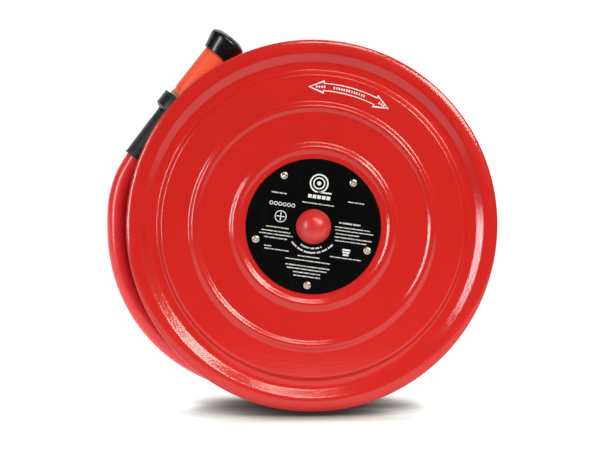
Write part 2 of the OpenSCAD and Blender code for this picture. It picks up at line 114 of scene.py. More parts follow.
def polar(radius, angle, height):
    """The point at an angle, in radians, on a circle about the local z axis."""
    return Vector((radius * math.cos(angle), radius * math.sin(angle), height))


def clamp(value):
    return min(max(value, 0), 1)


def spread(start, end, count):
    """Evenly spaced values from start to end, in count steps."""
    return [start + (end - start) * i / count for i in range(count + 1)]


def add_object(name, data):
    made = bpy.data.objects.new(name, data)
    bpy.context.scene.collection.objects.link(made)
    return made


# ---- camera ----

CAMERA_AZIMUTH = -4.0
CAMERA_ELEVATION = 2.8
CAMERA_DISTANCE = 2400
FIELD_WIDTH = 948.5
SENSOR_WIDTH = 36
AIM = Vector((-21.4, 2.7, FRONT_FACE))


def make_camera():
    """Stands nearly square to the front disc, a little to its left and above its axis."""
    azimuth = math.radians(CAMERA_AZIMUTH)
    elevation = math.radians(CAMERA_ELEVATION)
    back = Vector((math.sin(azimuth) * math.cos(elevation), math.sin(elevation),
                   math.cos(azimuth) * math.cos(elevation)))
    data = bpy.data.cameras.new("camera")
    data.sensor_width = SENSOR_WIDTH
    data.lens = SENSOR_WIDTH * CAMERA_DISTANCE / FIELD_WIDTH
    camera = add_object("camera", data)
    place = REEL @ (AIM + back * CAMERA_DISTANCE)
    towards = REEL @ AIM - place
    camera.location = place
    camera.rotation_euler = towards.to_track_quat("-Z", "Y").to_euler()
    bpy.context.scene.camera = camera


make_camera()

# ---- mesh helpers ----


def add_mesh(name, points, faces, body, material, slot=None, replaces=(), smooth_angle=32):
    """Makes one piece from points in metres, with smooth faces that keep their sharp edges."""
    mesh = bpy.data.meshes.new(name)
    mesh.from_pydata([tuple(p) for p in points], [], faces)
    mesh.validate()
    tidy = bmesh.new()
    tidy.from_mesh(mesh)
    bmesh.ops.recalc_face_normals(tidy, faces=tidy.faces)
    tidy.to_mesh(mesh)
    tidy.free()
    return add_piece(name, mesh, body, material, replaces, smooth_angle)


def add_piece(name, mesh, body, material, replaces, smooth_angle=32):
    """Makes one piece from a mesh, on its body, in the place of the CAD nodes that it replaces."""
    mesh.polygons.foreach_set("use_smooth", [True] * len(mesh.polygons))
    mesh.set_sharp_from_angle(angle=math.radians(smooth_angle))
    mesh.materials.clear()
    mesh.materials.append(material)
    piece = add_object(name, mesh)
    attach(piece, body)
    if replaces:
        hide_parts(*replaces)
    return piece


def arc(centre, radius, start, end, steps):
    """Points on an arc about centre, with its angles in degrees."""
    angles = [math.radians(start + (end - start) * i / steps) for i in range(steps + 1)]
    return [(centre[0] + radius * math.cos(a), centre[1] + radius * math.sin(a)) for a in angles]


def eased(outline, radius):
    """Rounds the corners of a closed outline, and leaves its smooth stretches as they are."""
    steps = 4
    least_turn = 18
    made = []
    count = len(outline)
    for i in range(count):
        corner = Vector(outline[i])
        before = Vector(outline[i - 1]) - corner
        after = Vector(outline[(i + 1) % count]) - corner
        turn = 180 - math.degrees(before.angle(after, 0)) if before.length and after.length else 0
        if turn < least_turn:
            made.append(tuple(corner))
            continue
        half = math.radians(180 - turn) / 2
        reach = min(radius / math.tan(half), 0.45 * before.length, 0.45 * after.length)
        start = corner + before.normalized() * reach
        end = corner + after.normalized() * reach
        for k in range(steps + 1):
            t = k / steps
            made.append(tuple((1 - t) ** 2 * start + 2 * t * (1 - t) * corner + t ** 2 * end))
    return made


def band_faces(rings, count, closed=True):
    """Quads between rings of count points each; closed joins the last ring to the first."""
    return [(s * count + i, s * count + (i + 1) % count,
             (s + 1) % rings * count + (i + 1) % count, (s + 1) % rings * count + i)
            for s in range(rings if closed else rings - 1) for i in range(count)]


def turned_geometry(outline, place, segments):
    """Points and faces of a closed outline of (radius, height), turned about place's own z."""
    points = []
    for s in range(segments):
        angle = 2 * math.pi * s / segments
        points += [place @ polar(r, angle, h) for r, h in outline]
    return points, band_faces(segments, len(outline))


def turned(name, outline, place, body, material, slot, replaces, ease, segments):
    """Makes a turned piece, with its corners rounded by ease millimetres."""
    if ease:
        outline = eased(outline, ease)
    points, faces = turned_geometry(outline, place, segments)
    return add_mesh(name, points, faces, body, material, slot, replaces)


def join_geometry(parts):
    """Joins (points, faces) pairs into one pair."""
    points = []
    faces = []
    for part_points, part_faces in parts:
        first = len(points)
        points += part_points
        faces += [tuple(first + i for i in face) for face in part_faces]
    return points, faces


# ---- materials ----


class Finish:
    """One procedural material, with short calls for the nodes that it is made of."""

    def __init__(self, name, colour, roughness, metallic=0.0, **sockets):
        self.material = bpy.data.materials.new(name)
        self.material.use_nodes = True
        self.tree = self.material.node_tree
        self.shader = self.tree.nodes["Principled BSDF"]
        self.colour = (*colour, 1.0)
        self.roughness = roughness
        self.shader.inputs["Base Color"].default_value = self.colour
        self.shader.inputs["Roughness"].default_value = roughness
        self.shader.inputs["Metallic"].default_value = metallic
        for socket, value in sockets.items():
            self.shader.inputs[socket.replace("_", " ")].default_value = value
        self.place = self.node("ShaderNodeTexCoord").outputs["Object"]

    def node(self, kind, links=(), **values):
        made = self.tree.nodes.new(kind)
        for key, value in values.items():
            setattr(made, key, value)
        for socket, source in dict(links).items():
            if isinstance(source, bpy.types.NodeSocket):
                self.tree.links.new(source, made.inputs[socket])
            else:
                made.inputs[socket].default_value = source
        return made

    def noise(self, size, detail, rough=0.5, stretch=None):
        """Noise whose lumps are about size millimetres across."""
        place = self.place
        if stretch:
            stretched = self.node("ShaderNodeMapping", {"Vector": place, "Scale": stretch})
            place = stretched.outputs["Vector"]
        return self.node("ShaderNodeTexNoise", {
            "Vector": place, "Scale": 1 / (size * MM), "Detail": detail, "Roughness": rough,
        }).outputs["Fac"]

    def ramp(self, source, low, high, start=0.0, end=1.0):
        return self.node("ShaderNodeMapRange", {
            "Value": source, "From Min": low, "From Max": high, "To Min": start, "To Max": end,
        }).outputs["Result"]

    def tint(self, factor, colour):
        """Mixes another colour over the base where factor is 1."""
        mix = self.node("ShaderNodeMix", data_type="RGBA")
        self.tree.links.new(factor, mix.inputs[0])
        links = self.shader.inputs["Base Color"].links
        if links:
            self.tree.links.new(links[0].from_socket, mix.inputs[6])
        else:
            mix.inputs[6].default_value = self.colour
        mix.inputs[7].default_value = (*colour, 1.0)
        self.tree.links.new(mix.outputs[2], self.shader.inputs["Base Color"])
        return self

    def bump(self, height, depth):
        """Adds a bump whose full height is depth millimetres."""
        bump = self.node("ShaderNodeBump", {"Height": height, "Distance": depth * MM})
        links = self.shader.inputs["Normal"].links
        if links:
            self.tree.links.new(links[0].from_socket, bump.inputs["Normal"])
        self.tree.links.new(bump.outputs["Normal"], self.shader.inputs["Normal"])
        return self

    def coat_bump(self):
        """Lets the clear coat follow the same bumps as the base."""
        source = self.shader.inputs["Normal"].links[0].from_socket
        self.tree.links.new(source, self.shader.inputs["Coat Normal"])
        return self

    def vary_roughness(self, source, change):
        """Lets the gloss wander by change to both sides of its mean."""
        result = self.ramp(source, 0.3, 0.7, self.roughness - change, self.roughness + change)
        self.tree.links.new(result, self.shader.inputs["Roughness"])
        return self


def enamel():
    """Glossy fire-red stove enamel with the fine orange peel of sprayed paint."""
    made = Finish("red_enamel", (0.60, 0.0165, 0.0135), 0.40, Coat_Weight=0.9, Coat_Roughness=0.10,
                  Specular_IOR_Level=0.12)
    made.tint(made.ramp(made.noise(90, 3), 0.35, 0.75, 0, 0.35), (0.52, 0.011, 0.010))
    made.bump(made.noise(2.6, 1), 0.17).bump(made.noise(1.2, 1), 0.04).coat_bump()
    return made.vary_roughness(made.noise(14, 3), 0.05).material


def hose_cover():
    """Smooth red rubber cover, through which the reinforcing braid shows very faintly."""
    braid_angle = 54
    made = Finish("hose_cover", (0.83, 0.022, 0.030), 0.34, Coat_Weight=0.35, Coat_Roughness=0.18)
    uv = made.node("ShaderNodeTexCoord").outputs["UV"]
    height = None
    for slope in (braid_angle, -braid_angle):
        strands = made.node("ShaderNodeMapping", {
            "Vector": uv, "Rotation": (0, 0, math.radians(slope))}).outputs["Vector"]
        wave = made.node("ShaderNodeTexWave", {"Vector": strands, "Scale": 62.0, "Distortion": 0.4})
        height = wave.outputs["Fac"] if height is None else made.node(
            "ShaderNodeMath", {0: height, 1: wave.outputs["Fac"]}, operation="MULTIPLY").outputs[0]
    made.bump(height, 0.05).bump(made.noise(3.5, 2), 0.06).coat_bump()
    made.tint(made.ramp(made.noise(45, 3), 0.35, 0.8, 0, 0.5), (0.60, 0.018, 0.022))
    return made.vary_roughness(made.noise(9, 3), 0.06).material


def moulded(name, colour, roughness, grain=0.35, depth=0.02, darker=0.8, **sockets):
    """Moulded plastic: fine eroded grain, faint flow marks and slightly uneven gloss."""
    made = Finish(name, colour, roughness, **sockets)
    made.tint(made.ramp(made.noise(25, 3), 0.35, 0.8, 0, 0.6), tuple(c * darker for c in colour))
    made.bump(made.noise(grain, 2), depth).bump(made.noise(8, 2), 0.05)
    return made.vary_roughness(made.noise(6, 4), 0.05).material


def rubber(name, colour, roughness=0.62):
    """Matt rubber with a bloom of dust in its low places."""
    made = Finish(name, colour, roughness, Sheen_Weight=0.06, Sheen_Roughness=0.5)
    made.tint(made.ramp(made.noise(7, 5, 0.7), 0.5, 0.8, 0, 0.55), (0.075, 0.073, 0.07))
    made.bump(made.noise(0.6, 3), 0.035)
    return made.vary_roughness(made.noise(4, 3), 0.08).material


def plated(name, colour, roughness, spangle=2.5):
    """Zinc plate: small crystals of slightly different brightness and fine draw marks."""
    made = Finish(name, colour, roughness, 1.0)
    cells = made.node("ShaderNodeTexVoronoi", {"Vector": made.place, "Scale": 1 / (spangle * MM)})
    made.tint(made.ramp(cells.outputs["Distance"], 0, 0.8, 0, 0.5), tuple(c * 0.72 for c in colour))
    made.bump(made.noise(0.5, 4), 0.012)
    return made.vary_roughness(made.noise(1.6, 5), 0.10).material


def cast(name, colour, roughness, depth, machined=0.6):
    """Sand-cast metal: rough skin, with darker hollows."""
    made = Finish(name, colour, roughness, 1.0)
    skin = made.noise(1.8, 5, 0.65)
    made.tint(made.ramp(skin, 0.3, 0.65, 0.6, 0), tuple(c * machined for c in colour))
    made.bump(skin, depth).bump(made.noise(0.4, 2), 0.01)
    return made.vary_roughness(made.noise(10, 4), 0.10).material


def label_face():
    """Black anodised plate under a satin lacquer, with a few wiping marks."""
    made = Finish("label_black", (0.0028, 0.0028, 0.0030), 0.16, Specular_IOR_Level=0.3)
    marks = made.noise(14, 5, 0.6, stretch=(1.0, 1.0, 0.25))
    made.tint(made.ramp(marks, 0.55, 0.8, 0, 0.5), (0.006, 0.006, 0.0065))
    made.bump(made.noise(0.8, 3), 0.008)
    return made.vary_roughness(marks, 0.05).material


def ink():
    """White printing ink, slightly uneven."""
    made = Finish("white_ink", (0.80, 0.82, 0.84), 0.45)
    made.tint(made.ramp(made.noise(1.5, 3), 0.5, 0.85, 0, 0.5), (0.62, 0.64, 0.66))
    return made.bump(made.noise(0.3, 2), 0.01).material


ENAMEL = enamel()
HOSE_COVER = hose_cover()
BOSS_PLASTIC = moulded("boss_red", (0.67, 0.034, 0.033), 0.34, Coat_Weight=0.15, Coat_Roughness=0.2)
BARREL_PLASTIC = moulded("nozzle_orange", (0.96, 0.115, 0.050), 0.36, darker=0.88)
BUMPER_PLASTIC = moulded("nozzle_black", (0.0065, 0.0065, 0.007), 0.26, depth=0.008)
NUT_PLASTIC = moulded("nut_black", (0.015, 0.016, 0.019), 0.36, grain=0.6, depth=0.05)
RING_NYLON = moulded("ring_tan", (0.36, 0.33, 0.22), 0.45)
BUSH_PLASTIC = moulded("bush_acetal", (0.74, 0.70, 0.60), 0.38)
GRIP_RUBBER = rubber("grip_rubber", (0.009, 0.009, 0.0105), 0.46)
SEAL_RUBBER = rubber("seal_rubber", (0.014, 0.014, 0.014))
ZINC = plated("zinc_plate", (0.60, 0.61, 0.63), 0.34)
DARK_ZINC = plated("dark_zinc", (0.055, 0.056, 0.06), 0.42, 1.5)
SCREW_ZINC = plated("screw_zinc", (0.86, 0.80, 0.66), 0.30, 1.2)
BRASS = cast("brass", (0.72, 0.50, 0.22), 0.34, 0.05, 0.72)
ALLOY = cast("cast_alloy", (0.62, 0.63, 0.65), 0.48, 0.12)
LABEL_FACE = label_face()
INK = ink()

# ---- the hose ----

# angles round the reel, in degrees
TURN_SHIFT = 105
LAYER_SHIFT = 110
LEAD = 34
FIRST_SHIFT = 170
LEAVES_AT = 256.06
STEP = 3

LANES = 5
WOUND_TURNS = 22
WINDING_GAP = 0.4
HOSE_SIDES = 28
LINE_SPACING = 8
# from where the hose leaves the winding to the nozzle, beside the disc
TAIL_ROUTE = [
    (-66, -266, 207.5), (-100, -258, 208), (-140, -244.5, 210), (-180, -226, 213),
    (-217, -202, 217), (-251, -169, 221.5), (-278, -130, 225.5), (-297, -87, 228.5),
    (-307.5, -42, 229.5), (-310, 0, 230), (-308, 40, 230), (-298.5, 75, 230),
]


def eased_step(value, start, length):
    """Rises smoothly from 0 to 1 over length from start."""
    return (1 - math.cos(math.pi * clamp((value - start) / length))) / 2


def winding_shifts():
    """Where along the winding the hose moves to the next lane, and where up to the next layer."""
    lane_shifts = [(FIRST_SHIFT + 360 * k, 1) for k in range(LANES - 1)]
    layer_shifts = []
    rise = FIRST_SHIFT + 360 * (LANES - 1) - LEAD
    for layer in range(1, LANES):
        layer_shifts.append(rise)
        way = -1 if layer % 2 else 1
        first = rise + 360 - LEAD
        lane_shifts += [(first + 360 * k, way) for k in range(LANES - 1)]
        rise += 360 * LANES - 2 * LEAD
    return lane_shifts, layer_shifts


def wound_points():
    """Centreline on the drum: clockwise turns that shift from lane to lane and layer to layer."""
    lane_shifts, layer_shifts = winding_shifts()
    straight_reach = OUTLET_REACH - HOSE_STRAIGHT * math.tan(math.radians(OUTLET_TILT))
    turn = math.degrees(math.atan2(HOSE_STRAIGHT, straight_reach)) + STEP
    last = OUTLET_ANGLE - LEAVES_AT + 360 * WOUND_TURNS
    points = []
    while turn < last - 2 * STEP:
        lane = sum(way * eased_step(turn, start, TURN_SHIFT) for start, way in lane_shifts)
        layer = sum(eased_step(turn, start, LAYER_SHIFT) for start in layer_shifts)
        radius = CORE_RADIUS + HOSE_RADIUS + WINDING_GAP + LAYER_PITCH * layer
        level = FIRST_LANE + TURN_PITCH * lane
        points.append(polar(radius, math.radians(OUTLET_ANGLE - turn), level))
        turn += STEP
    return points


def outlet_point(z):
    """A point on the straight stretch over the outlet's barb."""
    tilt = math.radians(OUTLET_TILT)
    along = Vector((-math.sin(tilt), -math.cos(tilt), 0)) * z
    return rotation(OUTLET_ANGLE, "Z") @ (Vector((OUTLET_REACH, 0, OUTLET_LEVEL)) + along)


def smooth_through(points, spacing):
    """Catmull-Rom curve through points, with about spacing millimetres between its own points."""
    ends = [2 * points[0] - points[1], *points, 2 * points[-1] - points[-2]]
    made = []
    for a, b, c, d in zip(ends, ends[1:], ends[2:], ends[3:]):
        count = max(1, round((c - b).length / spacing))
        for k in range(count):
            t = k / count
            made.append(0.5 * (2 * b + (c - a) * t + (2 * a - 5 * b + 4 * c - d) * t * t
                               + (3 * b - 3 * c + d - a) * t * t * t))
    return made + [points[-1]]


def hose_line():
    """The whole centreline, from the outlet's barb over the winding and the tail into the grip."""
    lip = Vector(LIP)
    along = polar(1, math.radians(NOZZLE_ANGLE), 0)
    start = [outlet_point(z) for z in (HOSE_FROM, 26, 33, HOSE_STRAIGHT)]
    end = [lip + along * z for z in (-4, 10, 34, 60, GRIP_LENGTH)]
    tail = [Vector(p) for p in TAIL_ROUTE]
    return smooth_through(start + wound_points() + tail + end, LINE_SPACING)


def make_hose():
    """One round tube along the whole line, with its seam and its length as UVs."""
    line = hose_line()
    rings = len(line)
    side = Vector((0, 0, 1))
    points = []
    lengths = [0.0]
    for i, point in enumerate(line):
        forward = (line[min(i + 1, rings - 1)] - line[max(i - 1, 0)]).normalized()
        side = (side - forward * side.dot(forward)).normalized()
        up = forward.cross(side)
        for k in range(HOSE_SIDES):
            angle = 2 * math.pi * k / HOSE_SIDES
            outward = math.cos(angle) * side + math.sin(angle) * up
            points.append(REEL @ (point + HOSE_RADIUS * outward))
        if i:
            lengths.append(lengths[-1] + (point - line[i - 1]).length * MM)
    faces = band_faces(rings, HOSE_SIDES, closed=False)
    tube_faces = len(faces)
    faces.append(tuple(reversed(range(HOSE_SIDES))))
    faces.append(tuple((rings - 1) * HOSE_SIDES + k for k in range(HOSE_SIDES)))
    mesh = bpy.data.meshes.new("fire_hose")
    mesh.from_pydata([tuple(p) for p in points], [], faces)
    around = 2 * math.pi * HOSE_RADIUS * MM
    uv = mesh.uv_layers.new(name="hose_uv")
    for face in mesh.polygons[:tube_faces]:
        ring, k = divmod(face.index, HOSE_SIDES)
        corners = ((k, ring), (k + 1, ring), (k + 1, ring + 1), (k, ring + 1))
        for loop, (sector, station) in zip(face.loop_indices, corners):
            uv.data[loop].uv = (around * sector / HOSE_SIDES, lengths[station])
    hose = add_piece("fire_hose", mesh, "drum", HOSE_COVER,
                     ("hose_start", "hose_winding", "hose_outer_layer", "hose_tail", "hose_end"))
    return hose, [REEL @ p for p in line]


hose, hose_path = make_hose()

# ---- side discs ----

# the visual disc's rim is slightly crowned, which the CAD disc's isn't
RIM_CROWN = 2
CROWN_SPAN = 13.85


def bead(radius, span):
    """Height of a rolled bead between two radii."""
    share = (radius - span[0]) / (span[1] - span[0])
    return BEAD_HEIGHT * (1 - math.cos(2 * math.pi * share)) / 2 if 0 < share < 1 else 0


def ramp(radius, span):
    """Rises smoothly from 0 to 1 between two radii."""
    return eased_step(radius, span[0], span[1] - span[0])


def straight_step(radius, span):
    """Rises from 0 to 1 between two radii at one slope, with a short bend at each end."""
    ease = 0.3
    share = clamp((radius - span[0]) / (span[1] - span[0]))
    if share > 0.5:
        return 1 - straight_step(span[0] + span[1] - radius, span)
    return share ** 2 / (2 * ease * (1 - ease)) if share < ease else (share - ease / 2) / (1 - ease)


def disc_height(radius):
    """Height of the pressed sheet's outer face over its flat field."""
    crown = RIM_CROWN * (1 - max((radius - RIM_STEP[1]) / CROWN_SPAN, 0) ** 3)
    return (bead(radius, INNER_BEAD) + bead(radius, OUTER_BEAD)
            - GROOVE_DEPTH * ramp(radius, GROOVE_STEP)
            + (GROOVE_DEPTH + RIM_RISE + crown) * straight_step(radius, RIM_STEP))


def disc_outline(hole, face, out):
    """Closed outline of a disc; out is 1 if it faces away from the wall and -1 if it faces it."""
    roll = DISC_RADIUS - ROLL_RADIUS
    radii = [hole, hole + 1, hole + 3, *spread(INNER_BEAD[0] - 2, INNER_BEAD[1] + 2, 26),
             *spread(OUTER_BEAD[0] - 2, OUTER_BEAD[1] + 2, 26),
             *spread(GROOVE_STEP[0] - 1, GROOVE_STEP[1], 16),
             *spread(RIM_STEP[0], RIM_STEP[1], 22), *spread(RIM_STEP[1] + 1, roll + 1.4, 14)]
    top = [(r, disc_height(r)) for r in radii]
    edge = arc((roll, RIM_RISE - ROLL_RADIUS), ROLL_RADIUS, 60, -198, 30)
    under = [(r, disc_height(r) - SHEET) for r in reversed(radii) if r < roll - ROLL_RADIUS - 0.4]
    return [(r, face + out * h) for r, h in top + edge + under]


for node, *disc in (
        ("front_disc", FRONT_HOLE, FRONT_FACE, 1), ("rear_disc", REAR_HOLE, REAR_FACE, -1)):
    turned(node + "_pressing", disc_outline(*disc), REEL, "drum", ENAMEL, "red_paint", (node,),
           ease=0, segments=360)

# ---- label plate, its print, its screws and the boss ----

label_outline = [(FRONT_HOLE, FRONT_FACE), (LABEL_RADIUS, FRONT_FACE), (LABEL_RADIUS, LABEL_FRONT),
                 (FRONT_HOLE, LABEL_FRONT)]
turned("label_disc", label_outline, REEL, "drum", LABEL_FACE, "label_black", ("label_plate",),
       ease=0.35, segments=256)


def boss_outline():
    """Thin hollow dome that stands on the label."""
    base, rise, wall = 28, 21, 2
    dome = (base ** 2 + rise ** 2) / (2 * rise)
    edge = math.degrees(math.asin((dome - rise) / dome))
    inner_edge = math.degrees(math.acos((base - wall) / (dome - wall)))
    crest = 89.97  # just short of the axis
    sunk = (dome - wall) * math.sin(math.radians(inner_edge)) - (dome - rise)
    outer = arc((0, LABEL_FRONT + rise - dome), dome, edge, crest, 40)
    inner = arc((0, LABEL_FRONT + rise - dome - sunk), dome - wall, crest, inner_edge, 24)
    return outer + inner


turned("boss_dome", boss_outline(), REEL, "drum", BOSS_PLASTIC, "boss_red", ("centre_boss",),
       ease=0.5, segments=128)


def screw_head(place, turn):
    """Pan head with a cross recess, from a fine grid whose height falls inside the cross."""
    radius, rise, rim = 6.2, 3.6, 1.2
    edge_round, sag = 2.6, 0.25
    depth, arm_length, arm_end, wall_width = 2.3, 3.3, 0.8, 0.35
    rings, sectors = 26, 72
    turns = [2 * math.pi * s / sectors for s in range(sectors)]
    points = []
    for i in range(rings + 1):
        r = radius * math.sin(math.pi / 2 * i / rings) if i < rings else radius
        share = max(r - (radius - edge_round), 0) / edge_round
        fall = (rise - rim) * (1 - math.sqrt(max(1 - share ** 2, 0)))
        crown = rise - fall - sag * (r / radius) ** 2
        for angle in turns:
            x, y = r * math.cos(angle), r * math.sin(angle)
            across, along = sorted((abs(x), abs(y)))
            half_width = 0.9 + 0.55 * max(1 - along / arm_length, 0)
            inside = clamp((half_width - across) / wall_width)
            inside *= clamp((arm_length - along) / arm_end)
            height = crown - depth * inside * (1 - 0.45 * along / arm_length)
            points.append(Vector((x, y, height)))
    points += [polar(radius, angle, 0) for angle in turns]
    faces = band_faces(rings + 2, sectors, closed=False)
    faces.append(tuple((rings + 1) * sectors + s for s in range(sectors)))
    placed = place @ rotation(turn, "Z")
    return [placed @ p for p in points], faces


draw = random.Random(7)
heads = [screw_head(on_ring(SCREW_RING, SCREW_PHASE + 72 * k, LABEL_FRONT), draw.uniform(0, 90))
         for k in range(5)]
add_mesh("label_screw_heads", *join_geometry(heads), "drum", SCREW_ZINC, "screw_zinc",
         ("label_screws",))

# ---- nozzle ----

RIB_PITCH = 2.4
RIB_COUNT = 25
RIB_FROM = 5
RIB_HEIGHT = 0.6
FIT_GAP = 0.2
NOZZLE_SEGMENTS = 128


def grip_outline():
    """Rubber sleeve with a turned-out lip and a row of fine ribs across its lower part."""
    def outer(z):
        return GRIP_RADIUS + 1.3 * z / GRIP_LENGTH

    bore = HOSE_RADIUS + 0.15
    lip = GRIP_RADIUS + 1.2
    points = [(bore, 0), (lip, 0), (lip, 1.8), (outer(3), 3)]
    for k in range(RIB_COUNT):
        z = RIB_FROM + RIB_PITCH * k
        foot, top = outer(z), outer(z) + RIB_HEIGHT
        points += [(foot, z), (top, z + 0.5), (top, z + 1.1), (foot, z + 1.6)]
    return points + [(outer(70), 70), (outer(GRIP_LENGTH), GRIP_LENGTH), (bore, GRIP_LENGTH)]


def collar_outline():
    """Plain metal ring between the grip and the coupling nut."""
    bore, outer = 17.1, 21.9
    back, front = GRIP_LENGTH + FIT_GAP, NUT_BACK - FIT_GAP
    return [(bore, back), (outer, back), (outer, front), (bore, front)]


def nut_outline():
    """Coupling nut with a coned back, a fine groove near its front and a stepped bore."""
    bore, recess = 17.3, 25.2
    groove = NUT_RADIUS - 0.5
    shoulder = NUT_BACK + 4.6
    return [(bore, NUT_BACK), (23, NUT_BACK), (NUT_RADIUS, NUT_BACK + 4.5),
            (NUT_RADIUS, NUT_FRONT - 4.2), (groove, NUT_FRONT - 3.8), (groove, NUT_FRONT - 3.2),
            (NUT_RADIUS, NUT_FRONT - 2.8), (NUT_RADIUS, NUT_FRONT), (recess, NUT_FRONT),
            (recess, shoulder), (bore, shoulder)]


def thrust_ring_outline():
    """Flanged ring whose flange sits in the nut's mouth."""
    bore, flange, neck = 15.2, 24.8, 21.8
    back, front = 114.1, BARREL_BACK - 0.3
    return [(bore, back), (flange, back), (flange, NUT_FRONT), (neck, NUT_FRONT), (neck, front),
            (bore, front)]


def barrel_outline():
    """Barrel with a groove near its lower end, and the flared mouth inside the bumper."""
    bore, ring_groove = 15.05, 16.6
    back, front = BARREL_BACK, BUMPER_BACK - FIT_GAP
    waist = BARREL_RADIUS - 0.9
    groove = [(BARREL_RADIUS, back + 3), (waist, back + 3.9), (waist, back + 9.5),
              (BARREL_RADIUS + 0.2, back + 10.6)]
    mouth = [(17, front), (17, 238), (15.8, 238), (13.8, 229), (11.6, 218), (9.2, 207), (9, 206),
             (9, 198.5)]
    return [(bore, back), (BARREL_RADIUS, back), *groove, (BARREL_RADIUS - 0.1, front), *mouth,
            (bore, 198), (bore, 185.4), (ring_groove, 185.4), (ring_groove, 182.6), (bore, 182.6)]


def bumper_outline():
    """Soft flared head with a rounded nose."""
    bore, nose = 17.05, 7
    return [(bore, BUMPER_BACK), (24.5, BUMPER_BACK), (27, 221), (29.4, 232),
            *arc((BUMPER_RADIUS - nose, 235), nose, 0, 70, 14), (22.6, NOZZLE_LENGTH - 1.2),
            (21, NOZZLE_LENGTH), (19.5, NOZZLE_LENGTH), (18, 241.4), (bore, 239)]


def make_nozzle():
    """The turned pieces of the nozzle, each with the CAD node that it replaces and its ease."""
    pieces = (
        ("grip_sleeve", grip_outline(), "drum", GRIP_RUBBER, "grip_rubber", "nozzle_grip", 0.25),
        ("grip_collar", collar_outline(), "drum", DARK_ZINC, "zinc_steel", "grip_ring", 0.5),
        ("coupling_nut_body", nut_outline(), "drum", NUT_PLASTIC, "nut_black", "coupling_nut", 0.5),
        ("thrust_ring", thrust_ring_outline(), "drum", RING_NYLON, "ring_tan",
         "nozzle_thrust_ring", 0.3),
        ("barrel_tube", barrel_outline(), "nozzle_head", BARREL_PLASTIC, "nozzle_orange",
         "nozzle_barrel", 0.4),
        ("bumper_ring", bumper_outline(), "nozzle_head", BUMPER_PLASTIC, "nozzle_black",
         "nozzle_bumper", 0.7),
    )
    for name, outline, body, material, slot, node, ease in pieces:
        turned(name, outline, NOZZLE, body, material, slot, (node,), ease, NOZZLE_SEGMENTS)


make_nozzle()

# ---- print on the label and the arrow on the disc ----

INK_LIFT = 0.03
INK_THICKNESS = 0.06
PRINT_TURN = -8.3


def flat_shape(outline, place, level):
    """A thin plate of ink with the given outline of (x, y) points, on the plane at level."""
    count = len(outline)
    points = [place @ Vector((x, y, level + h)) for h in (0, INK_THICKNESS) for x, y in outline]
    faces = [tuple(reversed(range(count))), tuple(range(count, 2 * count))]
    faces += [(i, (i + 1) % count, count + (i + 1) % count, count + i) for i in range(count)]
    return points, faces


def bar(x, y, width, height, place, level):
    """An upright rectangle about its middle."""
    left, right = x - width / 2, x + width / 2
    low, high = y - height / 2, y + height / 2
    return flat_shape([(left, low), (right, low), (right, high), (left, high)], place, level)


def ring_shape(x, y, inner, outer, place, level, start=0, end=360, steps=48):
    """A flat ring, or a stretch of one, as quads with a closed thickness."""
    whole = abs(end - start) >= 360
    count = steps if whole else steps + 1
    points = []
    for i in range(count):
        angle = math.radians(start + (end - start) * i / steps)
        across, up = math.cos(angle), math.sin(angle)
        for r, h in ((inner, 0), (outer, 0), (outer, INK_THICKNESS), (inner, INK_THICKNESS)):
            points.append(place @ Vector((x + r * across, y + r * up, level + h)))
    faces = band_faces(count, 4, closed=whole)
    if not whole:
        faces += [(3, 2, 1, 0), tuple(4 * steps + k for k in range(4))]
    return points, faces


def dummy_line(x, y, width, height, place, level, draw):
    """A line of blank strokes in groups, which stands where words would be."""
    parts = []
    at = x - width / 2
    end = x + width / 2
    while at < end - 0.8 * height:
        for _ in range(draw.randint(2, 8)):
            stroke = height * draw.uniform(0.45, 0.75)
            if at + stroke > end:
                break
            parts.append(bar(at + stroke / 2, y, stroke, height, place, level))
            at += stroke + 0.22 * height
        at += 0.55 * height
    return parts


def dummy_arc(radius, start, end, height, place, level, draw):
    """The same on an arc between two angles, in degrees."""
    parts = []
    inner, outer = radius - height / 2, radius + height / 2
    at = start
    while at < end:
        for _ in range(draw.randint(3, 8)):
            stroke = math.degrees(height * draw.uniform(0.5, 0.75) / radius)
            if at + stroke > end:
                break
            parts.append(ring_shape(0, 0, inner, outer, place, level, at, at + stroke, 2))
            at += stroke * 1.4
        at += math.degrees(0.7 * height / radius)
    return parts


STROKE_SHARE = 0.85
# x, y, width and height of each line of print, in the print's own upright frame
PRINT_LINES = (
    (2.5, 36.5, 52, 2.0), (-60.5, 45.5, 26, 2.2), (61.5, 46.5, 26, 2.0),
    (-56.5, -9, 36, 1.9), (-57.5, -15.5, 47, 1.9), (-57, -20.5, 54, 1.9), (-57, -26, 37, 1.9),
    (-66.5, -39.5, 13, 1.9), (-52.5, -44, 39, 1.9),
    (57, 12, 35, 2.8), (62.5, 5, 57, 1.9), (66, 0, 62, 1.9), (56.5, -5.5, 40, 1.9),
    (65.5, -11, 60, 1.9), (62, -16.5, 50, 1.9), (58, -43, 51, 1.8),
    (0, -48.5, 37, 2.0), (-1, -55, 72, 2.0), (0, -64, 71, 2.1), (0, -69, 65, 2.1),
    (0, -74.5, 44, 2.1), (1, -80, 43, 2.1),
)


def coil_mark(x, y, radius, place, level):
    """A plain pictogram of a coil: two rings, a dot and a short tail."""
    return [
        ring_shape(x, y, radius * 0.84, radius, place, level),
        ring_shape(x, y, radius * 0.50, radius * 0.64, place, level),
        ring_shape(x, y, 0.01, radius * 0.22, place, level),
        bar(x + radius * 0.72, y - radius * 0.92, radius * 1.44, radius * 0.16, place, level),
    ]


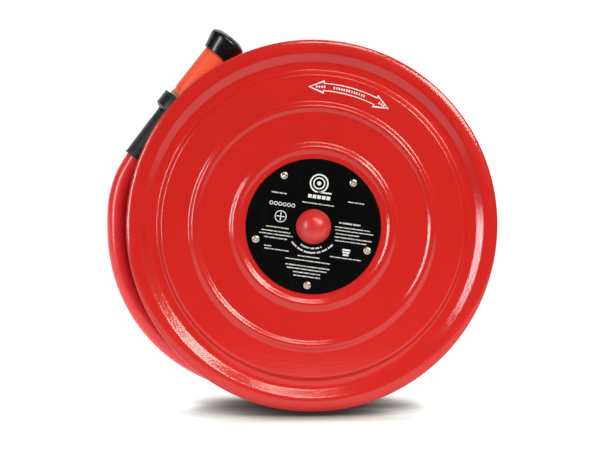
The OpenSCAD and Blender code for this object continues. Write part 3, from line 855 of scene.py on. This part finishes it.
def make_print():
    """Generic marks where the label has its writing; none of them is a letter or anyone's mark."""
    place = REEL @ rotation(PRINT_TURN, "Z")
    level = LABEL_FRONT + INK_LIFT
    draw = random.Random(11)
    parts = coil_mark(-1, 69, 15, place, level)
    for k in range(5):
        parts.append(bar(2 + 7.4 * (k - 2), 47.5, 5.8, 5.6, place, level))
    for k in range(6):
        parts.append(ring_shape(-54 + 7 * (k - 2.5), 28.5, 2.0, 3.1, place, level, steps=24))
    parts.append(ring_shape(-54, 9, 8.2, 9.4, place, level))
    parts.append(bar(-54, 9, 1.4, 13, place, level))
    parts.append(bar(-54, 9, 13, 1.4, place, level))
    for k in range(3):
        parts.append(bar(57, -29.5 - 4 * k, 13 - 2 * k, 2.6, place, level))
    for x, y, width, height in PRINT_LINES:
        parts += dummy_line(x, y, width, STROKE_SHARE * height, place, level, draw)
    parts += dummy_arc(34.5, -118, -58, 2.4, place, level, draw)
    parts += dummy_arc(41.5, -137, -34, 2.6, place, level, draw)
    add_mesh("label_print", *join_geometry(parts), "drum", INK)


make_print()

ARROW_MIDDLE = 74.75
ARROW_RADIUS = 221
ARROW_HALF_SPAN = 17.45
HEAD_SPAN = 6.6
BODY_HALF = 6.5
HEAD_HALF = 10.8
ARROW_LINE = 1.5
STROKE_HALF = 1.7
STROKE_STEP = 1.05
# where the groups of strokes start and end, in degrees from the arrow's middle
STROKE_GROUPS = ((-16.3, -13.0), (-6.2, 6.8), (10.4, 13.6))


def arrow_outline(inset):
    """Closed outline of the curved double-headed arrow as (x, y) points, drawn in by inset."""
    def at(radius, angle):
        turn = math.radians(ARROW_MIDDLE + angle)
        return radius * math.cos(turn), radius * math.sin(turn)

    unit = math.degrees(inset / ARROW_RADIUS)
    body = BODY_HALF - inset
    head = HEAD_HALF - 2.1 * inset
    base = ARROW_HALF_SPAN - HEAD_SPAN + unit
    tip = ARROW_HALF_SPAN - 2.4 * unit
    steps = 24
    made = [at(ARROW_RADIUS, tip), at(ARROW_RADIUS + head, base)]
    made += [at(ARROW_RADIUS + body, base - 2 * base * k / steps) for k in range(steps + 1)]
    made += [at(ARROW_RADIUS + head, -base), at(ARROW_RADIUS, -tip), at(ARROW_RADIUS - head, -base)]
    made += [at(ARROW_RADIUS - body, -base + 2 * base * k / steps) for k in range(steps + 1)]
    return made + [at(ARROW_RADIUS - head, base)]


def make_arrow():
    """White outline of a curved arrow that points both ways, with blank strokes inside it."""
    level = FRONT_FACE + INK_LIFT
    outer = arrow_outline(0)
    inner = arrow_outline(ARROW_LINE)
    count = len(outer)
    points = [REEL @ Vector((x, y, level + h))
              for h in (0, INK_THICKNESS) for x, y in outer + inner]
    low, high = 0, 2 * count
    faces = []
    for i in range(count):
        j = (i + 1) % count
        faces += [(low + i, low + count + i, low + count + j, low + j),
                  (high + i, high + j, high + count + j, high + count + i),
                  (low + i, low + j, high + j, high + i),
                  (low + count + i, high + count + i, high + count + j, low + count + j)]
    parts = [(points, faces)]
    draw = random.Random(3)
    low_edge, high_edge = ARROW_RADIUS - STROKE_HALF, ARROW_RADIUS + STROKE_HALF
    for start, end in STROKE_GROUPS:
        turn = ARROW_MIDDLE + start
        while turn < ARROW_MIDDLE + end:
            width = STROKE_STEP * draw.uniform(0.4, 0.7)
            parts.append(ring_shape(0, 0, low_edge, high_edge, REEL, level, turn, turn + width, 2))
            turn += STROKE_STEP
    add_mesh("turning_arrow", *join_geometry(parts), "drum", INK)


make_arrow()

# ---- bolts and nuts seen from behind ----

NO_BORE = 0.01  # where a solid piece stops, just short of its axis


def hex_geometry(place, flats, base, top, bore):
    """A hexagon whose top corners are cut by a chamfer cone; bore is next to nothing on a bolt."""
    chamfer = 0.93
    sectors = 96

    def reach(angle):
        part = (math.degrees(angle) + 30) % 60 - 30
        return flats / 2 / math.cos(math.radians(part))

    slope = math.tan(math.radians(30)) * (1 if top > base else -1)
    points = []
    for s in range(sectors):
        angle = 2 * math.pi * s / sectors
        edge = reach(angle)
        flat_r = flats / 2 * chamfer
        low_side = top - slope * (edge - flat_r)
        profile = ((bore, base), (edge, base), (edge, low_side), (flat_r, top), (bore, top))
        points += [place @ polar(r, angle, h) for r, h in profile]
    return points, band_faces(sectors, len(profile))


def rod_geometry(place, radius, start, end):
    """A plain shank with rounded ends."""
    outline = [(NO_BORE, start), (radius, start), (radius, end), (NO_BORE, end)]
    return turned_geometry(eased(outline, 0.5), place, 48)


def make_hardware():
    """Bolts, screws and nuts with chamfered heads, in the places of the plain ones.

    Each set has its name, body, CAD node, count, ring radius and phase; then the hexagon's width,
    base, top and bore; then the shank's radius and ends.
    """
    inlet_ring, hub_ring = 55, 70
    bracket_back, inlet_front = 51, 65
    rear_inner = REAR_FACE + SHEET
    sets = (
        ("inlet_bolt_set", "bracket", "inlet_bolts", 4, inlet_ring, 45,
         (16, inlet_front, inlet_front + 6.4, NO_BORE), (5, 40, inlet_front)),
        ("inlet_nut_set", "bracket", "inlet_nuts", 4, inlet_ring, 45,
         (16, bracket_back, bracket_back - 8, 5.1), None),
        ("hub_bolt_set", "drum", "hub_bolts", 5, hub_ring, SCREW_PHASE + 36,
         (13, REAR_FACE, REAR_FACE - 5.3, NO_BORE), (3.95, REAR_FACE, rear_inner + 18)),
        ("rear_screw_set", "drum", "rear_screws", 5, SCREW_RING, SCREW_PHASE,
         (10, REAR_FACE, REAR_FACE - 4, NO_BORE), (2.95, REAR_FACE, rear_inner + 9)),
    )
    draw = random.Random(5)
    for name, body, node, count, radius, phase, hexagon, shank in sets:
        parts = []
        for k in range(count):
            place = on_ring(radius, phase + 360 * k / count, 0) @ rotation(draw.uniform(0, 60), "Z")
            parts.append(hex_geometry(place, *hexagon))
            if shank:
                parts.append(rod_geometry(place, *shank))
        add_mesh(name, *join_geometry(parts), body, ZINC, "zinc_steel", (node,), smooth_angle=28)


make_hardware()

# ---- materials of the CAD nodes that stay ----

SLOT_MATERIALS = {
    "red_paint": ENAMEL, "brass": BRASS, "alloy": ALLOY, "zinc_steel": ZINC,
    "screw_zinc": SCREW_ZINC, "bush_plastic": BUSH_PLASTIC, "seal_rubber": SEAL_RUBBER,
    "hose_rubber": HOSE_COVER, "label_black": LABEL_FACE, "boss_red": BOSS_PLASTIC,
    "nozzle_orange": BARREL_PLASTIC, "nozzle_black": BUMPER_PLASTIC, "nut_black": NUT_PLASTIC,
    "grip_rubber": GRIP_RUBBER, "ring_tan": RING_NYLON,
}
for part in frame["record"]["subparts"]:
    node = frame["nodes"][part["node"]]
    for slot in node.material_slots:
        slot.material = SLOT_MATERIALS[part["material_slot"]]

# ---- floor, backdrop and light ----

DARK_ROOM = 0.03
# reach and depth of the painted contact shadow in the backdrop's glow
PAINTED_SHADOW_REACH = 0.075
PAINTED_SHADOW_DEPTH = 3.0
PAPER_GLOW = 1.12
FLOOR_GAP = 8
WARM = (1.0, 0.93, 0.82)


def make_backdrop():
    """Pale floor that curves up into a pale wall, with a painted contact shadow close under the
    reel: there its glow is dimmed by ambient occlusion.
    """
    floor_level = -(DISC_RADIUS + FLOOR_GAP) * MM
    front, back, side, height, bend = -0.78, 3.2, 7, 4.0, 1.2
    profile = [(front, floor_level)]
    profile += [(back - bend + bend * math.sin(a), floor_level + bend - bend * math.cos(a))
                for a in (math.pi / 2 * k / 16 for k in range(17))]
    profile.append((back, height))
    points = [(x, y, z) for x in (-side, side) for y, z in profile]
    count = len(profile)
    faces = [(i, i + 1, count + i + 1, count + i) for i in range(count - 1)]
    mesh = bpy.data.meshes.new("backdrop")
    mesh.from_pydata(points, [], faces)
    mesh.polygons.foreach_set("use_smooth", [True] * len(faces))
    paper = Finish("backdrop_paper", (0.06, 0.06, 0.06), 0.9, Emission_Color=(1.0, 0.98, 0.95, 1))
    # painted contact shadow: ambient occlusion dims the paper's glow near the reel, rather than a
    # lamp being blocked
    occlusion = paper.node("ShaderNodeAmbientOcclusion", {"Distance": PAINTED_SHADOW_REACH}, samples=16)
    openness = {0: occlusion.outputs["AO"], 1: PAINTED_SHADOW_DEPTH}
    shade = paper.node("ShaderNodeMath", openness, operation="POWER").outputs[0]
    glow = paper.ramp(shade, 0, 1, 0, PAPER_GLOW)
    paper.tree.links.new(glow, paper.shader.inputs["Emission Strength"])
    mesh.materials.append(paper.material)
    backdrop = add_object("backdrop", mesh)


def add_softbox(name, place, aim, width, height, power, colour=(1, 1, 1)):
    """A rectangular lamp; its places and sizes are in metres, in the scene's own frame."""
    data = bpy.data.lights.new(name, "AREA")
    data.shape = "RECTANGLE"
    data.size, data.size_y = width, height
    data.energy = power
    data.color = colour
    lamp = add_object(name, data)
    lamp.location = place
    lamp.rotation_euler = (Vector(aim) - Vector(place)).to_track_quat("-Z", "Y").to_euler()


def make_light():
    """Warm keys from the upper right, a narrow fill from the left, and a wash over the backdrop."""
    centre = (0, -0.26, 0)
    add_softbox("key_upper_right", (1.55, -1.97, 1.21), centre, 1.0, 0.9, 45, WARM)
    add_softbox("key_top", (0.50, -1.97, 1.90), centre, 1.0, 0.4, 17, WARM)
    add_softbox("fill_left", (-1.95, -1.75, 0.45), centre, 0.3, 1.5, 28)
    add_softbox("top_wash", (0, 1.3, 3.2), (0, 0.9, -0.3), 3.5, 2.8, 60)
    world = bpy.data.worlds.new("studio")
    world.use_nodes = True
    tree = world.node_tree
    seen = tree.nodes.new("ShaderNodeLightPath").outputs["Is Camera Ray"]
    strength = tree.nodes.new("ShaderNodeMapRange")
    strength.inputs["To Min"].default_value = DARK_ROOM
    tree.links.new(seen, strength.inputs["Value"])
    tree.links.new(strength.outputs["Result"], tree.nodes["Background"].inputs["Strength"])
    tree.nodes["Background"].inputs["Color"].default_value = (1, 1, 1, 1)
    bpy.context.scene.world = world
    bpy.context.scene.view_settings.view_transform = "Standard"


make_backdrop()
make_light()
